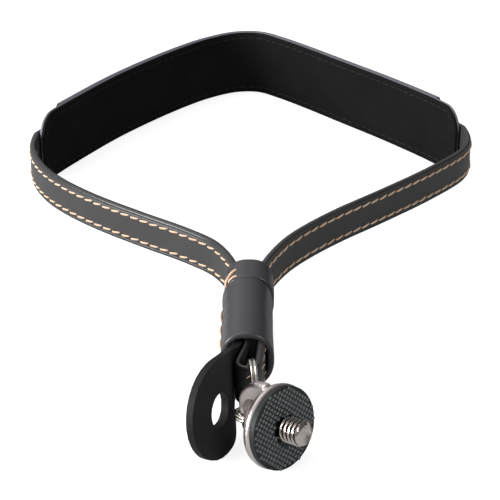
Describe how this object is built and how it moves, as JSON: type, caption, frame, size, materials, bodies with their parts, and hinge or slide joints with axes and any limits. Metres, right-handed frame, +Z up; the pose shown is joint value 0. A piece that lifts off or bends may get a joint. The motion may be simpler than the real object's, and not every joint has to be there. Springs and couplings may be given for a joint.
{
  "type": "gimbal hand strap",
  "caption": "Black leather wrist strap with a padded loop, stitched sleeve, split rings, a round leather tab and a rubber-faced 1/4 inch camera screw.",
  "frame": {"origin": "under the middle of the bounding box, on the table plane", "axes": "+Z up, out of the table on which the strap stands on its edge; -Y along the strap towards the camera screw; +X across the loop, to the right as seen from the screw's end"},
  "size_m": [0.1394, 0.2458, 0.0258],
  "materials": {
    "leather": "smooth black leather with tan stitches",
    "sleeve_leather": "smooth dark grey leather, slightly glossy",
    "guard_leather": "matte black leather",
    "suede": "black suede",
    "plated_steel": "satin plated casting",
    "bright_steel": "bright nickel plate",
    "rubber": "knurled dark grey rubber"
  },
  "bodies": {
    "strap": {"hand_strap": "leather", "pad_base": "leather", "pad_cover": "leather", "pad_lining": "suede", "sleeve": "sleeve_leather", "keeper": "sleeve_leather", "screw_guard_tab": "guard_leather"},
    "large_ring": {"large_split_ring": "bright_steel"},
    "small_ring": {"small_split_ring": "bright_steel"},
    "adapter": {"adapter_body": "plated_steel", "camera_screw": "bright_steel", "rubber_disc": "rubber"}
  },
  "joints": [
    {"name": "large_ring_swing", "type": "hinge", "parent": "strap", "child": "large_ring", "pos_m": [-0.00069, -0.09298, 0.01143], "axis": [0, 0, 1], "range_deg": [-1, 10]},
    {"name": "small_ring_swing", "type": "hinge", "parent": "large_ring", "child": "small_ring", "pos_m": [0.00037, -0.10416, 0.00846], "axis": [0.1008, -0.4269, 0.8987], "range_deg": [-6, 15]},
    {"name": "adapter_swing", "type": "hinge", "parent": "small_ring", "child": "adapter", "pos_m": [0.00354, -0.11127, 0.0102], "axis": [0.8814, 0.4435, -0.1626], "range_deg": [-8, 8]}
  ]
}
